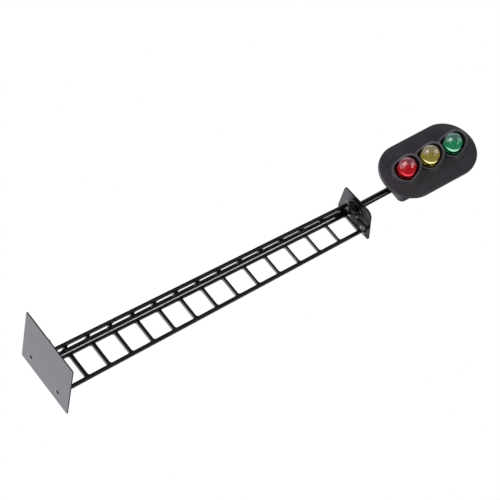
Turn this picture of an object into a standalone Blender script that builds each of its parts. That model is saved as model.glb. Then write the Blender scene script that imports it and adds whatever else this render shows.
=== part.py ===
"""Model railway colour-light signal: an open L-section lattice mast on a thin
base plate, a small platform, and an oblong three-lamp head on a thin tube that
turns in the platform.

Frame: origin at the centre of the underside of the base plate, +Z up the mast,
the lamps face -Y (the front), +X to the right of a viewer who looks at the lamps.

Lengths are in millimetres. Every shape is drawn in millimetres and its finished
mesh is scaled to metres once, in place().
"""

import math

import bmesh
import bpy
from mathutils import Matrix, Vector

MM = 0.001
GAP = 0.02                      # clearance between pieces that rest on each other
OVERCUT = 1.0                   # how far cutters run out past the surface they cut
MERGE = 1e-4                    # points closer than this are merged
SEGMENTS = 32

# ---------------------------------------------------------------- dimensions
# base plate
BASE_X, BASE_Y, BASE_T = 12.78, 11.7, 0.22
BASE_CORNER_R = 0.12
BASE_HOLE_R = 0.25
BASE_HOLES = ((-4.05, 3.52), (3.45, 3.58))
TAB_X, TAB_W, TAB_OUT = -0.15, 0.62, 0.24   # tab on the front edge
TAB_OVERLAP = 0.3               # how far the tab runs back into the plate
TAB_CORNER_R = 0.12
TAB_T = BASE_T * 0.8

# lattice mast: the front ladder faces the viewer, the side ladder runs forward from its left edge
MAST_TOP = 58.9                 # underside of the platform
RUNG_PITCH = 4.15
RUNG_COUNT = 14
RUNG_FIRST = 4.15               # centre of the lowest front rung
RUNG_H = 0.45                   # height of the upper front rungs
RUNG_EXTRA, RUNG_EVEN = 0.32, 50.0  # front rungs deepen by this towards the foot, below this height
SIDE_RUNG_H = 0.66
SIDE_RUNG_DROP = 0.57           # side rungs sit this much below the front rungs
TAPER_RUN = 54.78               # height over which the lean and taper figures are given
SHEET = 0.36                    # thickness of the front ladder
SIDE_SHEET = 0.39               # thickness of the side ladder
SIDE_INSET = 0.12               # from the front ladder's left edge to the side ladder
FRONT_Y = 0.335                 # front surface of the front ladder
POST_LEFT, POST_LEAN = -0.835, 0.35
POST_W = 1.04                   # width of the corner strip of the front ladder
RAIL_RIGHT, RAIL_TAPER = 5.535, -0.81
RAIL_W = 0.59
SIDE_FRONT, SIDE_TAPER = -2.265, 0.58
SIDE_RAIL_W = 0.80
SIDE_STRIP_FRONT = -0.195       # front edge of the corner strip of the side ladder
WINDOW_R, SIDE_WINDOW_R = 0.34, 0.26
TOP_GAP_R = 0.2                 # lower corners of the opening above the highest rung

# solder on the mast
SEAM_LEG = 0.52                 # solder fillet along the inner corner
SEAM_END = 0.6                  # from each end of the mast to the fillet
SEAM_FAR, SEAM_NEAR = 0.55, 0.32    # shares of the leg that place the points of the hollow face
BEAD_CLEAR = GAP + 0.01         # clearance between a bead and the mast
BEAD_BLOCK = 4.0                # half size of the block that trims a bead at its plate
RAIL_BLOCK = 2.0                # half height of the blocks that clear the rails

# platform: corners as x, y, corner radius
PLAT_T = 0.25
PLAT_OUTLINE = ((-1.85, -3.97, 0.45), (4.98, -4.42, 1.15), (5.92, 1.58, 0.35), (-2.35, 1.88, 0.6))
PLAT_HOLE_R = 0.58

# head swivel and neck
TUBE_X, TUBE_Y = 1.43, -1.93
TUBE_R, TUBE_BORE = 0.54, 0.38  # both radii, as are the bores below
TUBE_BELOW = 0.62               # how far the tube stands out under the platform
TUBE_INSIDE = 1.4               # how far the tube runs up into the rear casing
HEAD_TURN = math.radians(7.0)   # turn of the head, lamps towards +X
HEAD_LEAN = math.radians(-1.1)  # lean of the neck, top towards -X
BUSH_R, BUSH_BORE, BUSH_H = 0.98, 0.58, 0.6
RING_R, RING_BORE, RING_H = 0.82, 0.55, 0.42
COLLAR_CHAMFER = 0.12           # on the bush and the ring

# face plate and hoods
FACE_W, FACE_H, FACE_T = 10.2, 18.66, 0.66
FACE_Z = 73.33                  # height of the centre of the face plate, along the neck
FACE_FWD = 4.05                 # tube axis to the front of the face plate
FACE_BEVEL = 0.14
LAMP_PITCH, LAMP_DROP = 4.98, 0.16  # the middle lamp sits this drop below the face's centre
HOOD_R, HOOD_WALL = 2.18, 0.33
HOOD_BLANK = 4.0                # length of the untrimmed hood in front of the face
SEAT_T, SEAT_CLEAR = 0.42, 0.04     # ring round the lens at the back of the hood
# side view of the hood rim: distance in front of the face, height above the lamp axis
HOOD_RIM = (
    (0.5, -0.25), (0.62, 0.0), (0.95, 0.25), (1.55, 0.66),
    (2.1, 1.08), (2.48, 1.5), (2.7, 1.9), (2.85, 2.4),
)
TRIM_LOW, TRIM_FRONT, TRIM_W = -4.0, 7.0, 8.0   # extent of the shape that trims a hood

# rear casing
BODY_HALF_W, BODY_HALF_H = 3.05, 7.1    # at the mouth, about the middle lamp
BODY_DRAFT = 0.085              # share by which it narrows towards its back
BODY_WALL, BODY_BACK, BODY_R = 0.32, 1.0, 1.1
BODY_BEVEL = 0.5
NECK_CLEAR, NECK_HOLE_DEPTH = 0.03, 0.9

# lamps: 3 mm light-emitting diodes
LENS_R = 1.5
LENS_PROUD = 1.75               # centre of the dome in front of the face plate
FLANGE_R, FLANGE_T = 1.6, 0.9
WAY_DEPTH, WAY_CLEAR = 3.05, 0.05   # hollows in the lens for the leads
LEAD_R = 0.2
LEAD_DRAWN_R = LEAD_R * 0.9
LEAD_X = 0.635
LEAD_TAIL = 0.45                # leads stand out this far behind the board
ANODE_START = 0.2               # behind the front end of its hollow
CUP_R = 0.48                    # at the mouth
CUP_X = LEAD_X * 0.45
CUP_FOOT_R, BOWL_FOOT_R, BOWL_R = CUP_R * 0.8, CUP_R * 0.55, CUP_R * 0.86
# distances behind the front end of the hollow
CUP_MOUTH, CUP_FOOT, BOWL_MOUTH, BOWL_FOOT, STEM_START = 0.15, 0.85, 0.1, 0.5, 0.6
STEM_BEND = (0.15, 0.45)        # start and end of the sideways step, behind the flange

# board, resistor and wires
BOARD_W, BOARD_H, BOARD_T = 4.2, 12.8, 0.5
BOARD_Y = 2.55                  # front of the face to the front of the board
BOARD_R = 0.7
BOARD_HOLE_R = LEAD_R + 0.06
CHIP_HALF_W, CHIP_HALF_H, CHIP_T = 0.8, 0.4, 0.4
WIRE_R, WIRE_BEND = 0.09, 0.35
WIRE_START_X = 0.32             # from the lead to the start of the wire
WIRE_START_Y = 0.20             # behind the board
LANE_Y, LANE_STEP = 0.30, 0.02  # the lanes behind the board, and the step between wires
ENTRY_Z, ENTRY_STEP = 0.35, 0.34    # where wires turn down above the tube, and the step
LANE_END = 0.5                  # the lane ends this far above that turn
WIRE_END = 0.15                 # wires end this far above the tube's lower end
# name, colour, lamp, x of the lead, x of the lane, (x, y) in the tube,
# drop of the wire's start and of the lane's top below the lamp axis
WIRES = (
    ("common", (0.62, 0.22, 0.06), "green", LEAD_X, 1.55, (-0.17, -0.17), 0.0, 0.3),
    ("red", (0.55, 0.03, 0.03), "red", -LEAD_X, -1.35, (0.17, -0.17), 0.0, 0.3),
    ("yellow", (0.70, 0.50, 0.05), "yellow", -LEAD_X, -1.72, (-0.17, 0.17), 0.0, 0.3),
    ("green", (0.03, 0.35, 0.10), "green", -LEAD_X, -1.02, (0.17, 0.17), 0.55, 0.7),
)
LENS_TINTS = {"red": (0.75, 0.02, 0.04), "yellow": (0.80, 0.72, 0.20), "green": (0.03, 0.50, 0.25)}

# ---------------------------------------------------------------- derived places
FOOT = BASE_T + GAP
TOP = MAST_TOP - GAP
PLAT_TOP = MAST_TOP + PLAT_T

# places in the head are given about the tube axis
FACE_FRONT = -FACE_FWD
BEHIND_FACE = FACE_FRONT + FACE_T + GAP     # mouth of the casing and front of the lens flanges
LAMP_MID = FACE_Z - LAMP_DROP
LAMP_Z = {name: LAMP_MID + k * LAMP_PITCH for name, k in (("red", -1), ("yellow", 0), ("green", 1))}
LAMP_BACK = BEHIND_FACE + FLANGE_T
WAY_FRONT = LAMP_BACK - WAY_DEPTH
BOARD_FRONT = FACE_FRONT + BOARD_Y
SOLDER_SIDE = BOARD_FRONT + BOARD_T
LEAD_TIP = SOLDER_SIDE + LEAD_TAIL
# where the neck enters the underside of the casing
NECK_ENTRY = LAMP_MID - BODY_HALF_H * (1 - BODY_DRAFT * -BEHIND_FACE / (BODY_BACK - BEHIND_FACE))
TUBE_LOW, TUBE_HIGH = MAST_TOP - TUBE_BELOW, NECK_ENTRY + TUBE_INSIDE

# ---------------------------------------------------------------- scene set-up
for old in list(bpy.data.objects):
    bpy.data.objects.remove(old, do_unlink=True)

parts = bpy.data.collections.new("signal_mast")
tools = bpy.data.collections.new("cutters")
tools.hide_render = True
bpy.context.scene.collection.children.link(parts)
bpy.context.scene.collection.children.link(tools)


# ---------------------------------------------------------------- materials
def material(name, colour, roughness, metallic=0.0, transmission=0.0):
    mat = bpy.data.materials.new(name)
    mat.use_nodes = True
    shader = mat.node_tree.nodes["Principled BSDF"]
    shader.inputs["Base Color"].default_value = (*colour, 1.0)
    shader.inputs["Roughness"].default_value = roughness
    shader.inputs["Metallic"].default_value = metallic
    shader.inputs["Transmission Weight"].default_value = transmission
    mat.diffuse_color = (*colour, 1.0)
    return mat


def paint(name, shade, roughness):
    """A black paint with a trace of blue."""
    return material(name, colour=(shade, shade, shade * 1.06), roughness=roughness)


def tin(name):
    return material(name, colour=(0.62, 0.62, 0.6), roughness=0.3, metallic=1.0)


def epoxy(name, tint):
    return material(name, colour=tint, roughness=0.08, transmission=0.85)


# ---------------------------------------------------------------- working objects
def scratch(mesh):
    """A working object in the cutters collection, left out of the render."""
    obj = bpy.data.objects.new("scratch", mesh)
    obj.hide_render = True
    tools.objects.link(obj)
    return obj


def mesh_from(work):
    """A new mesh from a bmesh, which is freed."""
    mesh = bpy.data.meshes.new("shape")
    work.to_mesh(mesh)
    work.free()
    return mesh


def drop(obj):
    bpy.data.objects.remove(obj, do_unlink=True)


def baked(obj):
    """Replaces an object by the plain mesh of its evaluated shape, with doubles merged."""
    bpy.context.view_layer.update()
    graph = bpy.context.evaluated_depsgraph_get()
    mesh = bpy.data.meshes.new_from_object(obj.evaluated_get(graph))
    drop(obj)
    return scratch(cleaned(mesh))


def cleaned(mesh):
    work = bmesh.new()
    work.from_mesh(mesh)
    bmesh.ops.remove_doubles(work, verts=work.verts, dist=MERGE)
    bmesh.ops.recalc_face_normals(work, faces=work.faces)
    work.to_mesh(mesh)
    work.free()
    return mesh


def boolean(target, other, operation):
    mod = target.modifiers.new("boolean", "BOOLEAN")
    mod.operation = operation
    mod.solver = "EXACT"
    mod.object = other
    result = baked(target)
    drop(other)
    return result


def cut(target, *cutters):
    for cutter in cutters:
        target = boolean(target, cutter, "DIFFERENCE")
    return target


def join(target, other):
    return boolean(target, other, "UNION")


def place(obj, name, mat, parent=None, smooth=35):
    """Turns a working shape into a named part: scaled to metres, coloured and linked."""
    mesh = obj.data.copy()
    mesh.name = name
    drop(obj)
    mesh.transform(Matrix.Diagonal((MM, MM, MM, 1)))
    mesh.materials.clear()
    mesh.materials.append(mat)
    mesh.shade_smooth()
    mesh.set_sharp_from_angle(angle=math.radians(smooth))
    done = bpy.data.objects.new(name, mesh)
    parts.objects.link(done)
    done.parent = parent


# ---------------------------------------------------------------- outlines
def rounded(corners, steps):
    """A closed outline from (x, y, radius) corners, each rounded by its radius."""
    points = []
    for i, (x, y, radius) in enumerate(corners):
        here = Vector((x, y))
        if radius <= 0:
            points.append(here)
            continue
        before = (Vector(corners[i - 1][:2]) - here).normalized()
        after = (Vector(corners[(i + 1) % len(corners)][:2]) - here).normalized()
        half = before.angle(after) / 2
        reach = radius / math.tan(half)
        centre = here + (before + after).normalized() * (radius / math.sin(half))
        start = here + before * reach - centre
        end = here + after * reach - centre
        turn = start.angle_signed(end)
        for k in range(steps + 1):
            angle = -turn * k / steps
            cos, sin = math.cos(angle), math.sin(angle)
            arm = Vector((start.x * cos - start.y * sin, start.x * sin + start.y * cos))
            points.append(centre + arm)
    return [(point.x, point.y) for point in points]


def rounded_box(left, low, right, high, radius, steps):
    corners = ((left, low), (right, low), (right, high), (left, high))
    return rounded([(x, y, radius) for x, y in corners], steps)


def circle(x, y, radius, segments=24):
    angles = [2 * math.pi * k / segments for k in range(segments)]
    return [(x + radius * math.cos(angle), y + radius * math.sin(angle)) for angle in angles]


def stadium(x, y, width, height, steps=20):
    """An upright oblong with half-round ends."""
    radius, straight = width / 2, (height - width) / 2
    points = []
    for side in (1, -1):
        for k in range(steps + 1):
            angle = math.pi * k / steps
            points.append((
                x + side * radius * math.cos(angle),
                y + side * straight + side * radius * math.sin(angle),
            ))
    return points


# ---------------------------------------------------------------- shape makers
# turns a shape drawn in (x, y) to stand in (x, z); its own +z then points to the front
UPRIGHT = Matrix.Rotation(math.radians(90), 4, "X")


def poly_curve(points, dimensions):
    """A curve object through the given points, and its spline."""
    curve = bpy.data.curves.new("path", "CURVE")
    curve.dimensions = dimensions
    guide = bpy.data.objects.new("path", curve)
    tools.objects.link(guide)
    for line in points:
        spline = curve.splines.new("POLY")
        spline.points.add(len(line) - 1)
        for point, place_at in zip(spline.points, line):
            point.co = (*place_at, 1)
        spline.use_cyclic_u = dimensions == "2D"
    return guide


def plate(outlines, thickness, matrix=None):
    """A flat outline with its holes, filled on both sides and centred on its plane."""
    guide = poly_curve([[(x, y, 0) for x, y in outline] for outline in outlines], "2D")
    guide.data.fill_mode = "BOTH"
    guide.data.extrude = thickness / 2
    obj = baked(guide)
    if matrix is not None:
        obj.data.transform(matrix)
    return obj


def upright(outlines, y_front, y_back):
    """A plate in the X-Z plane between two values of y."""
    stand = Matrix.Translation((0, (y_front + y_back) / 2, 0)) @ UPRIGHT
    return plate(outlines, y_back - y_front, stand)


def wire(points, radius, resolution=1):
    """A round wire along a path."""
    guide = poly_curve([points], "3D")
    guide.data.bevel_depth = radius
    guide.data.bevel_resolution = resolution
    guide.data.use_fill_caps = True
    return baked(guide)


def cylinder(radius, start, end, segments=SEGMENTS, radius_end=None):
    """A cylinder or cone between two points."""
    start, end = Vector(start), Vector(end)
    work = bmesh.new()
    bmesh.ops.create_cone(
        work, cap_ends=True, cap_tris=False, segments=segments, radius1=radius,
        radius2=radius if radius_end is None else radius_end, depth=(end - start).length,
    )
    turn = (end - start).to_track_quat("Z", "Y").to_matrix().to_4x4()
    work.transform(Matrix.Translation((start + end) / 2) @ turn)
    return scratch(mesh_from(work))


def block(low, high):
    low, high = Vector(low), Vector(high)
    work = bmesh.new()
    bmesh.ops.create_cube(work, size=1.0)
    size = Matrix.Diagonal((*(high - low), 1.0))
    work.transform(Matrix.Translation((low + high) / 2) @ size)
    return scratch(mesh_from(work))


def ball(centre, radii):
    work = bmesh.new()
    bmesh.ops.create_uvsphere(work, u_segments=16, v_segments=10, radius=1.0)
    work.transform(Matrix.Translation(centre) @ Matrix.Diagonal((*radii, 1.0)))
    return scratch(mesh_from(work))


def turned(profile, closed=True, matrix=None):
    """A profile of (radius, height) points, run down its outer side, turned about Z."""
    work = bmesh.new()
    verts = [work.verts.new((radius, 0, z)) for radius, z in profile]
    for start, end in zip(verts, verts[1:]):
        work.edges.new((start, end))
    if closed:
        work.edges.new((verts[-1], verts[0]))
    obj = scratch(mesh_from(work))
    mod = obj.modifiers.new("turn", "SCREW")
    mod.steps = mod.render_steps = SEGMENTS
    mod.use_merge_vertices = True
    mod.merge_threshold = MERGE
    obj = baked(obj)
    if matrix is not None:
        obj.data.transform(matrix)
    return obj


def softened(points, radius, steps=3):
    """A 3-D path whose inner corners are replaced by short curves."""
    points = [Vector(point) for point in points]
    path = [points[0]]
    for before, here, after in zip(points, points[1:], points[2:]):
        reach = min(radius, (before - here).length * 0.45, (after - here).length * 0.45)
        start = here + (before - here).normalized() * reach
        end = here + (after - here).normalized() * reach
        for k in range(steps + 1):
            t = k / steps
            path.append(start * (1 - t) ** 2 + here * 2 * t * (1 - t) + end * t**2)
    path.append(points[-1])
    return path


def bevelled(obj, y, width, segments):
    """Rounds the edges that lie in the plane at y."""
    work = bmesh.new()
    work.from_mesh(obj.data)
    limit = math.radians(1)
    bmesh.ops.dissolve_limit(work, angle_limit=limit, verts=work.verts, edges=work.edges)
    edges = [edge for edge in work.edges if all(abs(v.co.y - y) < 1e-3 for v in edge.verts)]
    bmesh.ops.bevel(
        work, geom=edges, offset=width, segments=segments, profile=0.5, affect="EDGES"
    )
    bmesh.ops.triangulate(work, faces=work.faces)
    work.to_mesh(obj.data)
    work.free()
    cleaned(obj.data)
    return obj


# ---------------------------------------------------------------- base plate
def build_base_plate():
    half_x, half_y = BASE_X / 2, BASE_Y / 2
    outline = rounded_box(-half_x, -half_y, half_x, half_y, BASE_CORNER_R, 3)
    holes = [circle(x, y, BASE_HOLE_R) for x, y in BASE_HOLES]
    middle = Matrix.Translation((0, 0, BASE_T / 2))
    base = plate([outline] + holes, BASE_T, middle)
    left, right = TAB_X - TAB_W / 2, TAB_X + TAB_W / 2
    tab_front, tab_back = -half_y - TAB_OUT, -half_y + TAB_OVERLAP
    tab_outline = rounded((
        (left, tab_front, TAB_CORNER_R), (right, tab_front, TAB_CORNER_R),
        (right, tab_back, 0), (left, tab_back, 0),
    ), 2)
    tab = plate([tab_outline], TAB_T, middle)
    place(join(base, tab), "base_plate", paint("base_black", shade=0.10, roughness=0.32))


# ---------------------------------------------------------------- lattice mast
def lean(z):
    return z / TAPER_RUN


def post_left(z):
    return POST_LEFT + POST_LEAN * lean(z)


def rail_right(z):
    return RAIL_RIGHT + RAIL_TAPER * lean(z)


def side_front(z):
    return SIDE_FRONT + SIDE_TAPER * lean(z)


def mast_lean():
    """The shear that leans a shape with the left edge of the front ladder."""
    shear = Matrix.Identity(4)
    shear[0][2] = POST_LEAN / TAPER_RUN
    return shear


def opening(low, high, left, right, r_low, r_high):
    """A rounded opening; left(z) and right(z) are its side edges."""
    return rounded((
        (left(low), low, r_low), (right(low), low, r_low),
        (right(high), high, r_high), (left(high), high, r_high),
    ), 3)


def ladder_openings(rungs, half, left, right, radius):
    """The closed openings between rungs, and the two that run out through the ends.

    half(z) is half the height of the rung at z.
    """
    closed = [
        opening(below + half(below), above - half(above), left, right, radius, radius)
        for below, above in zip(rungs, rungs[1:])
    ]
    first, last = rungs[0], rungs[-1]
    ends = [
        opening(FOOT - OVERCUT, first - half(first), left, right, 0, radius),
        opening(last + half(last), TOP + OVERCUT, left, right, TOP_GAP_R, 0),
    ]
    return closed, ends


FRONT_RUNGS = [RUNG_FIRST + i * RUNG_PITCH for i in range(RUNG_COUNT)]


def front_rung_half(z):
    return (RUNG_H + RUNG_EXTRA * max(0.0, 1 - z / RUNG_EVEN)) / 2


def build_front_ladder():
    closed, ends = ladder_openings(
        FRONT_RUNGS, front_rung_half,
        left=lambda z: post_left(z) + POST_W, right=lambda z: rail_right(z) - RAIL_W,
        radius=WINDOW_R,
    )
    outline = [
        (post_left(FOOT), FOOT), (rail_right(FOOT), FOOT),
        (rail_right(TOP), TOP), (post_left(TOP), TOP),
    ]
    ladder = upright([outline] + closed, FRONT_Y, FRONT_Y + SHEET)
    for gap in ends:
        ladder = cut(ladder, upright([gap], FRONT_Y - OVERCUT, FRONT_Y + SHEET + OVERCUT))
    place(ladder, "front_ladder", paint("front_ladder_black", shade=0.03, roughness=0.25))


def build_side_ladder():
    """Drawn flat as (y, z), then stood up beside the corner."""
    closed, ends = ladder_openings(
        [z - SIDE_RUNG_DROP for z in FRONT_RUNGS], lambda z: SIDE_RUNG_H / 2,
        left=lambda z: side_front(z) + SIDE_RAIL_W, right=lambda z: SIDE_STRIP_FRONT,
        radius=SIDE_WINDOW_R,
    )
    back = FRONT_Y - GAP
    outline = [(side_front(FOOT), FOOT), (back, FOOT), (back, TOP), (side_front(TOP), TOP)]
    ladder = plate([outline] + closed, SIDE_SHEET)
    for gap in ends:
        ladder = cut(ladder, plate([gap], SIDE_SHEET + 2 * OVERCUT))
    ladder.data.transform(Matrix.Rotation(math.radians(90), 4, "Z") @ UPRIGHT)
    beside = Matrix.Translation((POST_LEFT + SIDE_INSET + SIDE_SHEET / 2, 0, 0))
    ladder.data.transform(beside @ mast_lean())
    place(ladder, "side_ladder", paint("side_ladder_black", shade=0.03, roughness=0.25))


def build_corner_seam():
    """Solder fillet up the inner corner, slightly hollow-faced."""
    x, y = POST_LEFT + SIDE_INSET + SIDE_SHEET + GAP, FRONT_Y - GAP
    far, near = SEAM_LEG * SEAM_FAR, SEAM_LEG * SEAM_NEAR
    outline = [
        (x, y), (x, y - SEAM_LEG), (x + near, y - far), (x + far, y - near), (x + SEAM_LEG, y),
    ]
    low, high = FOOT + SEAM_END, TOP - SEAM_END
    middle = Matrix.Translation((0, 0, (low + high) / 2))
    seam = plate([outline], high - low, mast_lean() @ middle)
    place(seam, "corner_solder_seam", paint("seam_black", shade=0.05, roughness=0.2))


def rail_cutters(z):
    """Upright blocks a little larger than the corner, rail and side rail near height z."""
    clear = BEAD_CLEAR
    low, high = z - RAIL_BLOCK, z + RAIL_BLOCK
    left, right = post_left(z) - clear, rail_right(z)
    front, back = FRONT_Y - clear, FRONT_Y + SHEET + clear
    side_left = post_left(z) + SIDE_INSET - clear
    side_right = side_left + SIDE_SHEET + 2 * clear
    side_y = side_front(z)
    return [
        block((left, front, low), (post_left(z) + POST_W + clear, back, high)),
        block((side_left, SIDE_STRIP_FRONT - clear, low), (side_right, FRONT_Y, high)),
        block((side_left, side_y - clear, low), (side_right, side_y + SIDE_RAIL_W + clear, high)),
        block((right - RAIL_W - clear, front, low), (right + clear, back, high)),
    ]


def build_beads(prefix, z, above, radius, tall, mat):
    """Solder beads round the rail ends, above or below the plate surface at height z."""
    # place, x, y, size relative to the given radius
    spots = (
        ("side_rail", post_left(z) + SIDE_INSET + SIDE_SHEET / 2,
         side_front(z) + SIDE_RAIL_W / 2, 1.0),
        ("corner", post_left(z) + 0.5, FRONT_Y + 0.05, 1.25),
        ("front_rail", rail_right(z) - RAIL_W / 2, FRONT_Y + SHEET / 2, 1.0),
    )
    low, high = (z - BEAD_BLOCK, z + GAP) if above else (z - GAP, z + BEAD_BLOCK)
    for spot, x, y, size in spots:
        bead = ball((x, y, z), (radius * size, radius * size, tall))
        plate_side = block(
            (x - BEAD_BLOCK, y - BEAD_BLOCK, low), (x + BEAD_BLOCK, y + BEAD_BLOCK, high)
        )
        bead = cut(bead, plate_side, *rail_cutters(z))
        place(bead, f"{prefix}_{spot}", mat, smooth=50)


def build_mast_solder():
    build_beads(
        "foot_solder", BASE_T, above=True, radius=0.62, tall=0.42,
        mat=paint("foot_solder_black", shade=0.02, roughness=0.12),
    )
    build_beads(
        "top_solder", MAST_TOP, above=False, radius=0.60, tall=0.36,
        mat=paint("top_solder_black", shade=0.02, roughness=0.10),
    )


# ---------------------------------------------------------------- platform
def build_platform():
    platform = plate(
        [rounded(PLAT_OUTLINE, 5), circle(TUBE_X, TUBE_Y, PLAT_HOLE_R, SEGMENTS)],
        PLAT_T,
        Matrix.Translation((0, 0, MAST_TOP + PLAT_T / 2)),
    )
    place(platform, "platform_plate", paint("platform_black", shade=0.08, roughness=0.3))


def build_neck_bush():
    """Brass collar on the platform, round the neck."""
    low = PLAT_TOP + GAP
    high = low + BUSH_H
    bush = turned([
        (BUSH_BORE, high), (BUSH_R - COLLAR_CHAMFER, high), (BUSH_R, high - COLLAR_CHAMFER),
        (BUSH_R, low), (BUSH_BORE, low),
    ], matrix=Matrix.Translation((TUBE_X, TUBE_Y, 0)))
    brass = material("bush_brass", colour=(0.42, 0.31, 0.12), roughness=0.35, metallic=1.0)
    place(bush, "neck_bush", brass)


# ---------------------------------------------------------------- turning head
# everything below is drawn about the tube axis and hangs on this pivot
head_pivot = bpy.data.objects.new("head_pivot", None)
head_pivot.empty_display_size = 0.003
head_pivot.location = (TUBE_X * MM, TUBE_Y * MM, PLAT_TOP * MM)
head_pivot.rotation_euler = (0, HEAD_LEAN, HEAD_TURN)
parts.objects.link(head_pivot)


def place_on_head(obj, name, mat, smooth=35):
    obj.data.transform(Matrix.Translation((0, 0, -PLAT_TOP)))
    place(obj, name, mat, parent=head_pivot, smooth=smooth)


def build_neck_tube():
    tube = turned([
        (TUBE_BORE, TUBE_HIGH), (TUBE_R, TUBE_HIGH), (TUBE_R, TUBE_LOW), (TUBE_BORE, TUBE_LOW),
    ])
    place_on_head(tube, "neck_tube", paint("tube_black", shade=0.02, roughness=0.18))


def build_lock_ring():
    """Ring round the tube, just under the platform."""
    high = MAST_TOP - 2 * GAP
    low = high - RING_H
    ring = turned([
        (RING_BORE, high), (RING_R, high), (RING_R, low + COLLAR_CHAMFER),
        (RING_R - COLLAR_CHAMFER, low), (RING_BORE, low),
    ])
    place_on_head(ring, "tube_lock_ring", paint("ring_black", shade=0.02, roughness=0.15))


def lamp_hood(z):
    """A hood with the lens seat at its back, its rim trimmed to the side view."""
    bore, lens_hole, seat = HOOD_R - HOOD_WALL, LENS_R + SEAT_CLEAR, -FACE_T + SEAT_T
    hood = turned([
        (bore, HOOD_BLANK), (HOOD_R, HOOD_BLANK), (HOOD_R, -FACE_T),
        (lens_hole, -FACE_T), (lens_hole, seat), (bore, seat),
    ], matrix=Matrix.Translation((0, FACE_FRONT, z)) @ UPRIGHT)
    # stand the rim's side view across the hood and cut away everything in front of it
    side_view = [
        (HOOD_RIM[0][0], TRIM_LOW), *HOOD_RIM,
        (TRIM_FRONT, HOOD_RIM[-1][1]), (TRIM_FRONT, TRIM_LOW),
    ]
    stand = Matrix(((0, 0, -1, 0), (-1, 0, 0, FACE_FRONT), (0, 1, 0, z), (0, 0, 0, 1)))
    return cut(hood, plate([side_view], TRIM_W, stand))


def build_signal_face():
    """Face plate with its three lamp hoods, one moulding."""
    back = FACE_FRONT + FACE_T
    face = upright([stadium(0, FACE_Z, FACE_W, FACE_H)], FACE_FRONT, back)
    face = bevelled(face, FACE_FRONT, FACE_BEVEL, segments=1)
    for z in LAMP_Z.values():
        hole_ends = (0, FACE_FRONT - OVERCUT, z), (0, back + OVERCUT, z)
        face = cut(face, cylinder(HOOD_R - HOOD_WALL, *hole_ends))
    for z in LAMP_Z.values():
        face = join(face, lamp_hood(z))
    place_on_head(face, "signal_face", paint("face_black", shade=0.07, roughness=0.42))


def drafted(obj):
    """Narrows a shape drawn square towards the back of the casing, about the middle lamp."""
    for vert in obj.data.vertices:
        depth = max(0.0, vert.co.y - BEHIND_FACE)
        share = 1 - BODY_DRAFT * depth / (BODY_BACK - BEHIND_FACE)
        vert.co.x *= share
        vert.co.z = LAMP_MID + (vert.co.z - LAMP_MID) * share
    return obj


def case_outline(inset):
    half_w, half_h = BODY_HALF_W - inset, BODY_HALF_H - inset
    return rounded_box(-half_w, LAMP_MID - half_h, half_w, LAMP_MID + half_h, BODY_R - inset, 5)


def build_rear_casing():
    """A cup that closes the back of the head."""
    case = upright([case_outline(0)], BEHIND_FACE, BODY_BACK)
    case = drafted(bevelled(case, BODY_BACK, BODY_BEVEL, segments=3))
    inside = upright([case_outline(BODY_WALL)], BEHIND_FACE - OVERCUT, BODY_BACK - BODY_WALL)
    neck_hole = cylinder(
        TUBE_R + NECK_CLEAR,
        (0, 0, NECK_ENTRY - 2 * OVERCUT), (0, 0, NECK_ENTRY + NECK_HOLE_DEPTH),
    )
    case = cut(case, drafted(inside), neck_hole)
    place_on_head(case, "rear_casing", paint("case_black", shade=0.06, roughness=0.4))


# ---------------------------------------------------------------- lamps
def build_lens(name, z):
    """Domed lens, hollowed from the back for its leads."""
    # heights run along the lamp axis, 0 at the back of the flange, the dome forward
    dome_centre = LAMP_BACK - (FACE_FRONT - LENS_PROUD)
    angles = [math.radians(degrees) for degrees in range(0, 91, 10)]
    profile = [
        (LENS_R * math.sin(angle), dome_centre + LENS_R * math.cos(angle)) for angle in angles
    ]
    profile += [(LENS_R, FLANGE_T), (FLANGE_R, FLANGE_T), (FLANGE_R, 0.0), (0.0, 0.0)]
    stand = Matrix.Translation((0, LAMP_BACK, z)) @ UPRIGHT
    lens = turned(profile, closed=False, matrix=stand)
    # x, radius, segments of each hollow
    for x, radius, segments in ((-LEAD_X, LEAD_R, 12), (CUP_X, CUP_R, 16)):
        start, end = (x, LAMP_BACK + OVERCUT, z), (x, WAY_FRONT, z)
        lens = cut(lens, cylinder(radius + WAY_CLEAR, start, end, segments))
    place_on_head(lens, f"{name}_lens", epoxy(f"{name}_epoxy", LENS_TINTS[name]))


def build_anode_lead(name, z):
    lead = wire([(-LEAD_X, WAY_FRONT + ANODE_START, z), (-LEAD_X, LEAD_TIP, z)], LEAD_DRAWN_R)
    place_on_head(lead, f"{name}_anode_lead", tin(f"{name}_anode_tin"))


def build_cathode_lead(name, z):
    """The other lead, with a cup that opens to the front."""
    def behind(distance):
        return (CUP_X, WAY_FRONT + distance, z)

    cup = cylinder(CUP_FOOT_R, behind(CUP_FOOT), behind(CUP_MOUTH), 16, CUP_R)
    bowl = cylinder(BOWL_FOOT_R, behind(BOWL_FOOT), behind(BOWL_MOUTH), 16, BOWL_R)
    stem = wire([
        behind(STEM_START), (CUP_X, LAMP_BACK + STEM_BEND[0], z),
        (LEAD_X, LAMP_BACK + STEM_BEND[1], z), (LEAD_X, LEAD_TIP, z),
    ], LEAD_DRAWN_R)
    lead = join(cut(cup, bowl), stem)
    place_on_head(lead, f"{name}_cathode_lead", tin(f"{name}_cathode_tin"))


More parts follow.
